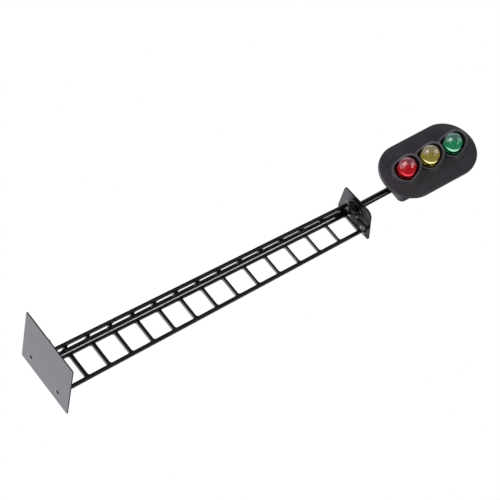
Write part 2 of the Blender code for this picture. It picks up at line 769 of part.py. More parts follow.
# ---------------------------------------------------------------- circuit board
def build_lamp_board():
    low = LAMP_MID - BOARD_H / 2
    outline = rounded_box(-BOARD_W / 2, low, BOARD_W / 2, low + BOARD_H, BOARD_R, 3)
    holes = [
        circle(x, z, BOARD_HOLE_R, 12) for z in LAMP_Z.values() for x in (-LEAD_X, LEAD_X)
    ]
    board = upright([outline] + holes, BOARD_FRONT, SOLDER_SIDE)
    green = material("board_green", colour=(0.03, 0.16, 0.08), roughness=0.45)
    place_on_head(board, "lamp_board", green)


def build_chip_resistor():
    """Block on the back of the board, midway between the red and yellow lamps."""
    z = LAMP_Z["yellow"] - LAMP_PITCH / 2
    front = SOLDER_SIDE + GAP
    chip = block((-CHIP_HALF_W, front, z - CHIP_HALF_H), (CHIP_HALF_W, front + CHIP_T, z + CHIP_HALF_H))
    black = material("chip_black", colour=(0.03, 0.03, 0.035), roughness=0.5)
    place_on_head(chip, "chip_resistor", black)


# ---------------------------------------------------------------- wires
def build_wires():
    """From the back of the board, down a lane each and into the neck tube."""
    for k, (name, tint, lamp, lead_x, lane_x, in_tube, start_drop, lane_drop) in enumerate(WIRES):
        z = LAMP_Z[lamp]
        lane_y = SOLDER_SIDE + LANE_Y + LANE_STEP * k
        entry = TUBE_HIGH + ENTRY_Z + ENTRY_STEP * k
        start_x = lead_x + math.copysign(WIRE_START_X, lane_x)
        path = [
            (start_x, SOLDER_SIDE + WIRE_START_Y, z - start_drop),
            (lane_x, lane_y, z - lane_drop),
            (lane_x, lane_y, entry + LANE_END),
            (*in_tube, entry),
            (*in_tube, TUBE_LOW + WIRE_END),
        ]
        run = wire(softened(path, WIRE_BEND), WIRE_R, resolution=0)
        enamel = material(f"{name}_wire_enamel", colour=tint, roughness=0.3)
        place_on_head(run, f"{name}_wire", enamel, smooth=60)


# ---------------------------------------------------------------- build
build_base_plate()
build_front_ladder()
build_side_ladder()
build_corner_seam()
build_mast_solder()
build_platform()
build_neck_bush()
build_neck_tube()
build_lock_ring()
build_signal_face()
build_rear_casing()
for lamp_name, lamp_height in LAMP_Z.items():
    build_lens(lamp_name, lamp_height)
    build_anode_lead(lamp_name, lamp_height)
    build_cathode_lead(lamp_name, lamp_height)
build_lamp_board()
build_chip_resistor()
build_wires()
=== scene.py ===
"""Looks of a model railway colour-light signal: lattice mast, platform and three-lamp head.

Shapes are drawn in millimetres and scaled to metres once, in finished(). The mast rises
along +Z from its base plate. The lamps look towards -Y, which is the front, and +X is on the
right seen from the front. The head is drawn about its own upright axis, that of the neck
tube, and finished() puts it in its place, turned and leaned a little.
"""

import math
from contextlib import contextmanager
from functools import cached_property

import bmesh
import bpy
from mathutils import Euler, Matrix, Vector, noise


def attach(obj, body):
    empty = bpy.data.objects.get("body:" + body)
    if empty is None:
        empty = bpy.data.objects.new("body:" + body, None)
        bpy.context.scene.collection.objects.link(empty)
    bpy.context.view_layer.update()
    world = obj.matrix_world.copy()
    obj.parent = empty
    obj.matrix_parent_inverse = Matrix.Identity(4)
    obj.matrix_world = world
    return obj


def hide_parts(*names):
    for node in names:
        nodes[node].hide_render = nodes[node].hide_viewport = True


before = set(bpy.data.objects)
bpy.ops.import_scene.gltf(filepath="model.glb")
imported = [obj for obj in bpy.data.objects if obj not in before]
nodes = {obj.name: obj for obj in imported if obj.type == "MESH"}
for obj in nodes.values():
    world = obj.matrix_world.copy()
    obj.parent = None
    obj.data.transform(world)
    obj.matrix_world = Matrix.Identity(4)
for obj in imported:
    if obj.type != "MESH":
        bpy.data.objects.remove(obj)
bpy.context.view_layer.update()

# ---------------------------------------------------------------- sizes shared with the frame
MM = 0.001
GAP = 0.02  # clearance between neighbouring pieces
BASE_T = 0.22
BASE_HOLES = ((-4.05, 3.52), (3.45, 3.58))
BASE_HOLE_R = 0.25
MAST_TOP = 58.9
TAPER_RUN = 54.78  # height over which the tapers below are measured
RUNG_PITCH = 4.15
RUNG_FIRST = RUNG_PITCH
RUNG_COUNT = 14
# front rungs are taller low down: the extra fades out at RUNG_EVEN
RUNG_H = 0.45
RUNG_EXTRA = 0.32
RUNG_EVEN = 50.0
SIDE_RUNG_H = 0.66
SIDE_RUNG_DROP = 0.57
SHEET = 0.36
SIDE_SHEET = 0.39
SIDE_INSET = 0.12
FRONT_Y = 0.335  # front of the front ladder
POST_LEFT = -0.835
POST_LEAN = 0.35
POST_W = 1.04
RAIL_RIGHT = 5.535
RAIL_TAPER = -0.81
RAIL_W = 0.59
SIDE_FRONT = -2.265
SIDE_TAPER = 0.58
SIDE_RAIL_W = 0.80
SIDE_STRIP_FRONT = -0.195
WINDOW_R = 0.34
SIDE_WINDOW_R = 0.26
PLAT_T = 0.25
TUBE_X = 1.43
TUBE_Y = -1.93
TUBE_R = 0.54
TUBE_BORE = 0.38
HEAD_TURN = math.radians(7.0)
HEAD_LEAN = math.radians(-1.1)
FACE_W = 10.2
FACE_H = 18.66
FACE_T = 0.66
FACE_Z = 73.33
FACE_FWD = 4.05
LAMP_PITCH = 4.98
LAMP_DROP = 0.16
HOOD_R = 2.18
HOOD_WALL = 0.33
# height over the lamp axis, reach in front of the face
HOOD_RIM = (
    (0.5, -0.25), (0.62, 0.0), (0.95, 0.25), (1.55, 0.66),
    (2.1, 1.08), (2.48, 1.5), (2.7, 1.9), (2.85, 2.4),
)
# each entry above is (reach, height)
BODY_HALF_W = 3.05
BODY_HALF_H = 7.1
BODY_DRAFT = 0.085  # share by which the casing narrows at its back
BODY_WALL = 0.32
BODY_BACK = 1.0
BODY_R = 1.1
LENS_R = 1.5
LENS_PROUD = 1.75
FLANGE_R = 1.6
FLANGE_T = 0.9

PLAT_TOP = MAST_TOP + PLAT_T
FACE_FRONT = -FACE_FWD
FACE_BACK = FACE_FRONT + FACE_T
CASE_FRONT = FACE_BACK + GAP
LAMP_MID = FACE_Z - LAMP_DROP
LAMP_Z = {"red": LAMP_MID - LAMP_PITCH, "yellow": LAMP_MID, "green": LAMP_MID + LAMP_PITCH}

# from the drawing of each moving body to the frame
FRAMES = {
    "mast": Matrix.Diagonal((MM, MM, MM, 1)),
    "head": (
        Matrix.Translation((TUBE_X * MM, TUBE_Y * MM, PLAT_TOP * MM))
        @ Euler((0, HEAD_LEAN, HEAD_TURN)).to_matrix().to_4x4()
        @ Matrix.Diagonal((MM, MM, MM, 1))
        @ Matrix.Translation((0, 0, -PLAT_TOP))
    ),
}
# stands a flat drawing up: its y becomes z, and its thickness runs along y
UPRIGHT = Matrix.Rotation(math.radians(90), 4, "X")

# the camera's axes: to its right, up, and from the signal towards it
SEEN_ACROSS = Vector((0.5835, -0.1372, 0.8004))
SEEN_UP = Vector((-0.6978, -0.5889, 0.4078))
SEEN_NEAR = Vector((0.4155, -0.7965, -0.4394))

scene = bpy.context.scene
pieces = bpy.data.collections.new("signal_mast_looks")
scratchpad = bpy.data.collections.new("scratch")
scene.collection.children.link(pieces)
scene.collection.children.link(scratchpad)


# ---------------------------------------------------------------- node trees
def scaled(colour, factor):
    return tuple(part * factor for part in colour)


class Nodes:
    """A node tree that is built up one node at a time."""

    # the A, B and result sockets of a Mix node
    MIX_SOCKETS = {"FLOAT": (2, 3, 0), "VECTOR": (4, 5, 1), "RGBA": (6, 7, 2)}

    def __init__(self, tree):
        self.tree = tree

    @cached_property
    def coords(self):
        return self.node("ShaderNodeTexCoord").outputs

    def node(self, kind, **settings):
        made = self.tree.nodes.new(kind)
        for key, value in settings.items():
            setattr(made, key, value)
        return made

    def feed(self, value, socket):
        """Give an input another node's output, a number or an RGB colour."""
        if isinstance(value, bpy.types.NodeSocket):
            self.tree.links.new(value, socket)
        else:
            socket.default_value = (*value, 1) if isinstance(value, tuple) else value

    def spread(self, value, span, to, smooth=False):
        """Carry the range span over to the range to."""
        kind = "SMOOTHSTEP" if smooth else "LINEAR"
        node = self.node("ShaderNodeMapRange", interpolation_type=kind)
        for key, number in zip(("From Min", "From Max", "To Min", "To Max"), (*span, *to)):
            node.inputs[key].default_value = number
        self.feed(value, node.inputs["Value"])
        return node.outputs["Result"]

    def maths(self, operation, *values):
        node = self.node("ShaderNodeMath", operation=operation)
        for value, socket in zip(values, node.inputs):
            self.feed(value, socket)
        return node.outputs["Value"]

    def dot(self, source, direction):
        node = self.node("ShaderNodeVectorMath", operation="DOT_PRODUCT")
        node.inputs[1].default_value = Vector(direction).normalized()
        self.feed(source, node.inputs[0])
        return node.outputs["Value"]

    def mix(self, factor, start, end, kind="RGBA"):
        node = self.node("ShaderNodeMix", data_type=kind)
        at_start, at_end, result = self.MIX_SOCKETS[kind]
        self.feed(factor, node.inputs["Factor"])
        self.feed(start, node.inputs[at_start])
        self.feed(end, node.inputs[at_end])
        return node.outputs[result]


class Look(Nodes):
    """A material round one Principled BSDF."""

    INPUTS = {
        "colour": "Base Color", "rough": "Roughness", "metal": "Metallic", "ior": "IOR",
        "spec": "Specular IOR Level", "clear": "Coat Weight", "clear_rough": "Coat Roughness",
        "trans": "Transmission Weight", "emission": "Emission Strength",
        "glow": "Emission Color", "normal": "Normal",
    }

    def __init__(self, name):
        self.material = bpy.data.materials.new(name)
        self.material.use_nodes = True
        super().__init__(self.material.node_tree)
        self.main = self.tree.nodes["Principled BSDF"]
        self.out = self.tree.nodes["Material Output"]

    def set(self, **values):
        for key, value in values.items():
            self.feed(value, self.main.inputs[self.INPUTS[key]])
            if key == "normal":
                self.feed(value, self.main.inputs["Coat Normal"])
        return self

    def noise(self, scale, detail=3.0, rough=0.5, stretch=None):
        node = self.node("ShaderNodeTexNoise")
        node.inputs["Scale"].default_value = scale
        node.inputs["Detail"].default_value = detail
        node.inputs["Roughness"].default_value = rough
        source = self.coords["Object"]
        if stretch:
            mapping = self.node("ShaderNodeMapping")
            mapping.inputs["Scale"].default_value = stretch
            self.feed(source, mapping.inputs["Vector"])
            source = mapping.outputs["Vector"]
        self.feed(source, node.inputs["Vector"])
        return node.outputs["Fac"]

    def ramp(self, factor, span, colours):
        node = self.node("ShaderNodeValToRGB")
        for element, place, colour in zip(node.color_ramp.elements, span, colours):
            element.position = place
            element.color = (*colour, 1)
        self.feed(factor, node.inputs["Fac"])
        return node.outputs["Color"]

    def bump(self, height, strength, distance, below=None):
        """Relief; distance is in metres, below is a relief that it lies on."""
        node = self.node("ShaderNodeBump")
        node.inputs["Strength"].default_value = strength
        node.inputs["Distance"].default_value = distance
        self.feed(height, node.inputs["Height"])
        if below is not None:
            self.feed(below, node.inputs["Normal"])
        return node.outputs["Normal"]

    def noise_ramp(self, span, colours, **texture):
        return self.ramp(self.noise(**texture), span, colours)

    def noise_spread(self, span, to, **texture):
        return self.spread(self.noise(**texture), span, to)

    def noise_bump(self, strength, distance, below=None, **texture):
        return self.bump(self.noise(**texture), strength, distance, below)

    def specks(self, over, tint, amount, span, **texture):
        """Fine specks of a paler tint over a colour."""
        return self.mix(self.noise_spread(span=span, to=(0.0, amount), **texture), over, tint)


# ---------------------------------------------------------------- materials
SPECK_GREY = (0.12, 0.12, 0.125)
FACE_TONE = (1.0, 0.95, 1.07)


def enamel(name, shade, rough, relief=1.0, clear=0.35):
    """Thick brushed black enamel: slow waves where it pooled, fine peel, a few matt specks."""
    look = Look(name).set(spec=0.5, clear=clear, clear_rough=0.06)
    tone = (1.0, 1.0, 1.05)
    colours = scaled(tone, shade * 0.8), scaled(tone, shade * 1.5)
    colour = look.noise_ramp(scale=520, span=(0.3, 0.75), colours=colours)
    colour = look.specks(
        colour, SPECK_GREY, amount=0.35, span=(0.70, 0.78), scale=5200, detail=2, rough=0.7
    )
    roughness = look.noise_spread(
        scale=900, detail=4, rough=0.6, span=(0.3, 0.75), to=(rough * 0.7, rough * 1.5)
    )
    waves = look.noise_bump(
        scale=430, detail=2, rough=0.4, strength=0.35 * relief, distance=0.00006
    )
    peel = look.noise_bump(scale=3600, strength=0.18 * relief, distance=0.000012, below=waves)
    return look.set(colour=colour, rough=roughness, normal=peel).material


def moulded(name, shade, rough, tone=(1.0, 0.96, 1.06)):
    """Dark moulded plastic under thin satin paint: fine grain, faint flow marks, worn dust."""
    look = Look(name).set(spec=0.42)
    colour = look.noise_ramp(
        scale=260, stretch=(1, 1, 0.35), span=(0.3, 0.72),
        colours=(scaled(tone, shade * 0.86), scaled(tone, shade * 1.2)),
    )
    colour = look.specks(
        colour, (0.16, 0.155, 0.16), amount=0.30, span=(0.66, 0.78), scale=4200, rough=0.75
    )
    roughness = look.noise_spread(
        scale=1500, detail=4, rough=0.65, span=(0.3, 0.75), to=(rough * 0.85, rough * 1.2)
    )
    grain = look.noise_bump(scale=7000, detail=2, rough=0.6, strength=0.22, distance=0.000008)
    broad = look.noise_bump(scale=700, detail=2, strength=0.12, distance=0.00003, below=grain)
    return look.set(colour=colour, rough=roughness, normal=broad).material


def bright_metal(name, colour, rough):
    """Drawn or turned metal with fine lengthwise scratches and a little tarnish."""
    look = Look(name).set(metal=1.0)
    colours = scaled(colour, 0.62), colour
    return look.set(
        colour=look.noise_ramp(
            scale=900, detail=4, rough=0.6, span=(0.3, 0.7), colours=colours
        ),
        rough=look.noise_spread(
            scale=2600, rough=0.6, span=(0.3, 0.8), to=(rough * 0.7, rough * 1.5)
        ),
        normal=look.noise_bump(
            scale=2400, detail=2, stretch=(4, 4, 0.5), strength=0.2, distance=0.00001
        ),
    ).material


def solder_paint(name, shade=0.008):
    """A blob of solder under wet-looking black enamel."""
    look = Look(name).set(spec=0.6, clear=0.8, clear_rough=0.03)
    colours = (shade,) * 3, (shade * 2.4, shade * 2.4, shade * 2.6)
    return look.set(
        colour=look.noise_ramp(scale=700, span=(0.3, 0.8), colours=colours),
        rough=look.noise_spread(scale=1800, span=(0.3, 0.7), to=(0.06, 0.2)),
        normal=look.noise_bump(scale=1300, detail=2, strength=0.45, distance=0.00005),
    ).material


def wet_black(name):
    """Smooth, thick, very glossy black enamel."""
    look = Look(name).set(spec=0.14)
    colours = (0.004,) * 3, (0.008,) * 3
    return look.set(
        colour=look.noise_ramp(scale=700, span=(0.3, 0.8), colours=colours),
        rough=look.noise_spread(scale=900, detail=2, span=(0.3, 0.7), to=(0.05, 0.10)),
        normal=look.noise_bump(
            scale=500, detail=1, rough=0.3, strength=0.10, distance=0.00004
        ),
    ).material


def varnish(name, colour):
    """Coloured wire enamel over copper."""
    look = Look(name).set(spec=0.55, clear=0.5, clear_rough=0.1)
    colours = scaled(colour, 0.7), colour
    return look.set(
        colour=look.noise_ramp(scale=2200, span=(0.3, 0.7), colours=colours),
        rough=look.noise_spread(scale=3000, span=(0.3, 0.7), to=(0.175, 0.35)),
        normal=look.noise_bump(scale=3800, detail=2, strength=0.15, distance=0.00001),
    ).material


def board_mask(name):
    """Green solder mask over glass cloth, with a faint weave."""
    look = Look(name).set(spec=0.5, clear=0.4, clear_rough=0.15)
    waves = []
    for axis in ("X", "Z"):
        wave = look.node("ShaderNodeTexWave", wave_type="BANDS", bands_direction=axis)
        wave.inputs["Scale"].default_value = 900
        look.feed(look.coords["Object"], wave.inputs["Vector"])
        waves.append(wave.outputs["Fac"])
    cloth = look.maths("ADD", *waves)
    greens = (0.012, 0.10, 0.045), (0.03, 0.17, 0.08)
    return look.set(
        colour=look.ramp(cloth, span=(0.2, 0.9), colours=greens),
        rough=look.noise_spread(scale=1600, span=(0.3, 0.7), to=(0.3, 0.5)),
        normal=look.bump(cloth, strength=0.15, distance=0.00001),
    ).material


# painted highlights of two windows on a lamp: place across and up the dome, strength
WINDOW_HIGHLIGHTS = ((-0.36, 0.27, 0.85), (0.57, 0.22, 0.55))


def painted_lamp_glow(name, deep, pale, spot):
    """The lamp body under its dome, all painted glow for the light through the lamp: deep low
    down, a painted pale veil of reflected light above, two soft painted highlights.
    """
    look = Look(name).set(spec=0.0, rough=0.6)
    clouds = look.noise(scale=1700, rough=0.55)

    def facing(direction, span, amount):
        """How far the surface faces a direction, with a cloudy edge."""
        dot = look.dot(look.coords["Normal"], direction)
        ragged = look.maths("MULTIPLY", look.maths("SUBTRACT", clouds, 0.5), 0.25)
        return look.spread(
            look.maths("ADD", dot, ragged), span=span, to=(0.0, amount), smooth=True
        )

    colours = scaled(deep, 0.8), scaled(deep, 1.15)
    colour = look.ramp(clouds, span=(0.35, 0.65), colours=colours)
    # a paler veil over the upper half: painted reflected light
    colour = look.mix(facing(SEEN_UP, span=(-0.08, 0.22), amount=1.0), colour, pale)
    # towards the very top the painted veil turns darker again
    crown = facing(SEEN_UP, span=(0.62, 0.95), amount=0.45)
    colour = look.mix(crown, colour, scaled(pale, 0.6))
    # two soft painted highlights where the windows would be reflected
    for across, up, amount in WINDOW_HIGHLIGHTS:
        near = math.sqrt(1 - across * across - up * up)
        direction = SEEN_ACROSS * across + SEEN_UP * up + SEEN_NEAR * near
        colour = look.mix(facing(direction, span=(0.955, 0.995), amount=amount), colour, spot)
    # all of it glows: the colour is emission, painted light standing in for the light through
    # the lamp
    return look.set(glow=colour, emission=1.0, colour=scaled(deep, 0.3)).material


def glint(name, colour):
    """Light that has gone through the lamp and gathers along its edge."""
    look = Look(name).set(spec=0.0, rough=0.6, emission=1.0)
    return look.set(colour=scaled(colour, 0.3), glow=colour).material


def epoxy(name, tint, density):
    """Tinted clear epoxy: the surface stays clear, colour builds up with depth."""
    look = Look(name).set(trans=1.0, ior=1.53, spec=0.5, colour=(0.97, 0.97, 0.97))
    look.set(
        rough=look.noise_spread(scale=1400, rough=0.6, span=(0.35, 0.75), to=(0.015, 0.05)),
        normal=look.noise_bump(
            scale=420, detail=2, rough=0.4, strength=0.12, distance=0.00003
        ),
    )
    absorb = look.node("ShaderNodeVolumeAbsorption")
    look.feed(tint, absorb.inputs["Color"])
    cloud = look.noise_spread(
        scale=600, detail=2, span=(0.3, 0.7), to=(density * 0.92, density * 1.08)
    )
    look.feed(cloud, absorb.inputs["Density"])
    look.feed(absorb.outputs["Volume"], look.out.inputs["Volume"])
    return look.material


def base_enamel(name):
    """Satin black enamel, drawn up into a ridge round each hole that is painted paler as a
    painted highlight; right at each hole it goes black without reflection.
    """
    look = Look(name).set(spec=0.5, clear=0.25, clear_rough=0.2)
    split = look.node("ShaderNodeSeparateXYZ")
    look.feed(look.coords["Object"], split.inputs[0])
    rings = []
    ring_span = ((BASE_HOLE_R + 0.04) * MM, (BASE_HOLE_R + 0.75) * MM)
    for x, y in BASE_HOLES:
        off_x = look.maths("SUBTRACT", split.outputs["X"], x * MM)
        off_y = look.maths("SUBTRACT", split.outputs["Y"], y * MM)
        squares = [look.maths("MULTIPLY", offset, offset) for offset in (off_x, off_y)]
        distance = look.maths("SQRT", look.maths("ADD", *squares))
        rings.append(look.spread(distance, span=ring_span, to=(1.0, 0.0), smooth=True))
    ridge_and_highlight = look.maths("MAXIMUM", *rings)

    shade = 0.033
    colours = (
        (shade * 0.84, shade * 0.80, shade * 0.88),
        (shade * 1.25, shade * 1.18, shade * 1.32),
    )
    colour = look.noise_ramp(
        scale=330, detail=4, rough=0.55, span=(0.3, 0.75), colours=colours
    )
    # the ridge round each hole is painted paler: a painted highlight on it
    colour = look.mix(look.maths("MULTIPLY", ridge_and_highlight, 0.30), colour, (0.17, 0.165, 0.17))
    # right at each hole the colour goes to black and the reflection and coat are taken away
    hole_lip = look.spread(ridge_and_highlight, span=(0.97, 0.995), to=(0.0, 1.0))
    colour = look.mix(hole_lip, colour, (0.0, 0.0, 0.0))
    look.set(
        spec=look.spread(hole_lip, span=(0.0, 1.0), to=(0.5, 0.0)),
        clear=look.spread(hole_lip, span=(0.0, 1.0), to=(0.25, 0.0)),
    )
    colour = look.specks(
        colour, SPECK_GREY, amount=0.3, span=(0.72, 0.80), scale=4600, detail=2, rough=0.7
    )
    rough = 0.30
    roughness = look.noise_spread(
        scale=500, span=(0.3, 0.75), to=(rough * 0.92, rough * 1.1)
    )
    normal = look.noise_bump(scale=360, detail=2, rough=0.4, strength=0.16, distance=0.00003)
    normal = look.noise_bump(scale=3800, strength=0.10, distance=0.000006, below=normal)
    normal = look.bump(ridge_and_highlight, strength=0.5, distance=0.00006, below=normal)
    return look.set(colour=colour, rough=roughness, normal=normal).material


def platform_enamel(name):
    """Brushed black enamel with an even grey sheen; under the plate's right part thick and wet,
    and there painted near black with little reflection as painted shade.
    """
    look = Look(name)
    split = look.node("ShaderNodeSeparateXYZ")
    look.feed(look.coords["Object"], split.inputs[0])
    along = look.spread(
        split.outputs["X"], span=(-0.0012, 0.0008), to=(0.0, 1.0), smooth=True
    )
    runs = look.noise(scale=620, rough=0.55)
    patches = look.spread(runs, span=(0.35, 0.6), to=(0.55, 1.0), smooth=True)
    # the thick wet part on the right, which is also where the painted shade goes
    thick = look.maths("MULTIPLY", along, patches)
    under_span = ((MAST_TOP + 0.06) * MM, (MAST_TOP + 0.12) * MM)
    under = look.spread(split.outputs["Z"], span=under_span, to=(1.0, 0.0))
    thick = look.maths("MULTIPLY", thick, under)

    greys = (0.018, 0.017, 0.019), (0.03, 0.029, 0.032)
    sheen = look.ramp(runs, span=(0.3, 0.7), colours=greys)
    # the thick part is painted near black with its reflection cut down: painted shade on the
    # plate's right part
    look.set(
        colour=look.mix(thick, sheen, (0.006, 0.006, 0.006)),
        spec=look.spread(thick, span=(0.0, 1.0), to=(0.42, 0.05)),
        rough=look.spread(thick, span=(0.0, 1.0), to=(0.27, 0.10)),
    )
    even = look.bump(runs, strength=0.25, distance=0.00006)
    lumps = look.noise_bump(
        scale=1500, detail=2, strength=0.5, distance=0.00005, below=even
    )
    return look.set(normal=look.mix(thick, even, lumps, kind="VECTOR")).material


# ---------------------------------------------------------------- mesh helpers
def sin_deg(angle):
    return math.sin(math.radians(angle))


def cos_deg(angle):
    return math.cos(math.radians(angle))


def scratch(name, mesh):
    obj = bpy.data.objects.new(name, mesh)
    scratchpad.objects.link(obj)
    return obj


def drop(obj):
    bpy.data.objects.remove(obj, do_unlink=True)


def evaluated(obj):
    bpy.context.view_layer.update()
    graph = bpy.context.evaluated_depsgraph_get()
    return bpy.data.meshes.new_from_object(obj.evaluated_get(graph))


@contextmanager
def editing(mesh):
    """Open a mesh as a bmesh and write it back at the end."""
    edit = bmesh.new()
    edit.from_mesh(mesh)
    yield edit
    edit.to_mesh(mesh)
    edit.free()


def cleaned(mesh, distance=1e-4):
    with editing(mesh) as edit:
        bmesh.ops.remove_doubles(edit, verts=edit.verts, dist=distance)
        bmesh.ops.recalc_face_normals(edit, faces=edit.faces)
    return mesh


def boolean(target, cutter, operation="DIFFERENCE"):
    modifier = target.modifiers.new("boolean", "BOOLEAN")
    modifier.operation = operation
    modifier.solver = "EXACT"
    modifier.object = cutter
    mesh = evaluated(target)
    name = target.name
    drop(target)
    drop(cutter)
    return scratch(name, cleaned(mesh))


def rounded(corners, steps):
    """An outline from (x, y, radius) corners, each arc drawn in so many steps."""
    points = []
    count = len(corners)
    for i, (x, y, radius) in enumerate(corners):
        here = Vector((x, y))
        if radius <= 0:
            points.append(here)
            continue
        before = (Vector(corners[i - 1][:2]) - here).normalized()
        after = (Vector(corners[(i + 1) % count][:2]) - here).normalized()
        half = before.angle(after) / 2
        reach = radius / math.tan(half)
        centre = here + (before + after).normalized() * (radius / math.sin(half))
        start = here + before * reach - centre
        end = here + after * reach - centre
        turn = start.angle_signed(end)
        for k in range(steps + 1):
            angle = -turn * k / steps
            cos, sin = math.cos(angle), math.sin(angle)
            arm = Vector((start.x * cos - start.y * sin, start.x * sin + start.y * cos))
            points.append(centre + arm)
    return [(point.x, point.y) for point in points]


def circle(y, radius, steps):
    angles = [2 * math.pi * k / steps for k in range(steps)]
    return [(radius * math.cos(angle), y + radius * math.sin(angle)) for angle in angles]


def stadium(y, width, height, steps=48):
    """An upright slot shape with half-round ends."""
    radius, straight = width / 2, (height - width) / 2
    angles = [math.pi * k / steps for k in range(steps + 1)]
    return [
        (sign * radius * math.cos(angle), y + sign * straight + sign * radius * math.sin(angle))
        for sign in (1, -1)
        for angle in angles
    ]


def plate(name, outlines, thickness, matrix=None):
    """A flat sheet; outlines after the first are holes in it."""
    curve = bpy.data.curves.new(name, "CURVE")
    curve.dimensions = "2D"
    curve.fill_mode = "BOTH"
    curve.extrude = thickness / 2
    for outline in outlines:
        spline = curve.splines.new("POLY")
        spline.points.add(len(outline) - 1)
        for point, (x, y) in zip(spline.points, outline):
            point.co = (x, y, 0, 1)
        spline.use_cyclic_u = True
    guide = scratch(name, curve)
    mesh = cleaned(evaluated(guide))
    drop(guide)
    if matrix is not None:
        mesh.transform(matrix)
    return scratch(name, mesh)


def lofted(name, loops, along=False, cap_start=False, cap_end=False):
    """A skin through closed rings of points; along joins the last ring to the first."""
    mesh = bpy.data.meshes.new(name)
    with editing(mesh) as edit:
        rings = [[edit.verts.new(point) for point in loop] for loop in loops]
        count = len(rings[0])
        pairs = list(zip(rings, rings[1:]))
        if along:
            pairs.append((rings[-1], rings[0]))
        for ring, following in pairs:
            for k in range(count):
                n = (k + 1) % count
                edit.faces.new((ring[k], ring[n], following[n], following[k]))
        if cap_start:
            edit.faces.new(rings[0])
        if cap_end:
            edit.faces.new(rings[-1])
        bmesh.ops.recalc_face_normals(edit, faces=edit.faces)
    return scratch(name, mesh)


def turned(name, profile, steps=64, matrix=None):
    """A closed (radius, height) outline, or one that starts and ends on the axis, about Z."""
    on_axis = abs(profile[0][0]) < 1e-9
    angles = [2 * math.pi * k / steps for k in range(steps)]
    loops = [
        [(radius * math.cos(angle), radius * math.sin(angle), z) for angle in angles]
        for radius, z in (profile[1:-1] if on_axis else profile)
    ]
    obj = lofted(name, loops, along=not on_axis, cap_start=on_axis, cap_end=on_axis)
    if on_axis:
        # draw the end caps in to a point on the axis
        with editing(obj.data) as edit:
            for cap in [face for face in edit.faces if len(face.verts) == steps]:
                z = cap.calc_center_median().z
                at_start = abs(z - profile[1][1]) < abs(z - profile[-2][1])
                centre = bmesh.ops.poke(edit, faces=[cap])["verts"][0]
                centre.co = (0, 0, profile[0 if at_start else -1][1])
            bmesh.ops.recalc_face_normals(edit, faces=edit.faces)
    if matrix is not None:
        obj.data.transform(matrix)
    return obj


def lifted(profile, base):
    return [(radius, base + height) for radius, height in profile]


def is_sharp(edge):
    return len(edge.link_faces) == 2 and edge.calc_face_angle(0) > math.radians(50)


def bevelled(obj, pick, width, segments):
    with editing(obj.data) as edit:
        bmesh.ops.dissolve_limit(
            edit, angle_limit=math.radians(0.5), verts=edit.verts, edges=edit.edges
        )
        edges = [edge for edge in edit.edges if pick(edge)]
        bmesh.ops.bevel(
            edit, geom=edges, offset=width, segments=segments, profile=0.5,
            affect="EDGES", clamp_overlap=True,
        )
    cleaned(obj.data, 1e-5)
    return obj


def finished(obj, name, body, material=None, stands_for=None, smooth=40):
    """Turn a scratch piece into the final object; without a material it keeps its own."""
    mesh = obj.data.copy()
    mesh.name = name
    drop(obj)
    mesh.transform(FRAMES[body])
    if material is not None:
        mesh.materials.clear()
        mesh.materials.append(material)
    mesh.shade_smooth()
    mesh.set_sharp_from_angle(angle=math.radians(smooth))
    done = bpy.data.objects.new(name, mesh)
    pieces.objects.link(done)
    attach(done, body)
    if stands_for:
        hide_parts(stands_for)


# ---------------------------------------------------------------- lattice mast
FOOT = BASE_T + GAP
TOP = MAST_TOP - GAP
STRIP_BACK = FRONT_Y - GAP
# paint thickens the front sheet behind and slims its rungs and right rail
PAINTED_SHEET = 0.55
RUNG_LIFT = 0.065
RUNG_SLIM = 0.13
RAIL_SLIM = 0.09
SIDE_RAIL_SLIM = 0.13


def post_left(z):
    return POST_LEFT + POST_LEAN * (z / TAPER_RUN)


def rail_right(z):
    return RAIL_RIGHT + RAIL_TAPER * (z / TAPER_RUN)


def side_front(z):
    return SIDE_FRONT + SIDE_TAPER * (z / TAPER_RUN)


def front_half(z):
    """Half the height of a front rung."""
    return (RUNG_H + RUNG_EXTRA * max(0.0, 1 - z / RUNG_EVEN)) / 2 - RUNG_SLIM / 2


def window(low, high, sides, r_low, r_high):
    left, right = sides
    corners = (
        (left(low), low, r_low), (right(low), low, r_low),
        (right(high), high, r_high), (left(high), high, r_high),
    )
    return rounded(corners, 7)


def ladder(name, rungs, half, outer, sides, thickness, radius, bevel, matrix):
    """A sheet with a row of windows between its rungs.

    outer and sides are pairs of functions of height: the left and right edges of the sheet
    and of its windows. half gives half the height of a rung.
    """
    left, right = outer
    outline = [(left(FOOT), FOOT), (right(FOOT), FOOT), (right(TOP), TOP), (left(TOP), TOP)]
    holes = [
        window(low + half(low), high - half(high), sides, radius, radius)
        for low, high in zip(rungs, rungs[1:])
    ]
    sheet = plate(name, [outline] + holes, thickness)
    # the first and last openings run out through the ends
    first, last = rungs[0], rungs[-1]
    for gap in (
        window(FOOT - 1, first - half(first), sides, r_low=0, r_high=radius),
        window(last + half(last), TOP + 1, sides, r_low=0.2, r_high=0),
    ):
        sheet = boolean(sheet, plate("end_gap", [gap], thickness + 2))

    def in_end(edge):
        heights = [vert.co.y for vert in edge.verts]
        return max(heights) < FOOT + 0.01 or min(heights) > TOP - 0.01

    bevelled(sheet, lambda edge: is_sharp(edge) and not in_end(edge), bevel, segments=4)
    sheet.data.transform(matrix)
    return sheet


front_rungs = [RUNG_FIRST + i * RUNG_PITCH for i in range(RUNG_COUNT)]
front = ladder(
    "front",
    rungs=[z + RUNG_LIFT for z in front_rungs],
    half=front_half,
    outer=(post_left, lambda z: rail_right(z) - RAIL_SLIM),
    sides=(lambda z: post_left(z) + POST_W, lambda z: rail_right(z) - RAIL_W),
    thickness=PAINTED_SHEET, radius=WINDOW_R, bevel=0.07,
    matrix=Matrix.Translation((0, FRONT_Y + PAINTED_SHEET / 2, 0)) @ UPRIGHT,
)
paint = enamel("ladder_enamel_front", shade=0.010, rough=0.13)
finished(front, "front_ladder_enamelled", "mast", paint, "front_ladder")

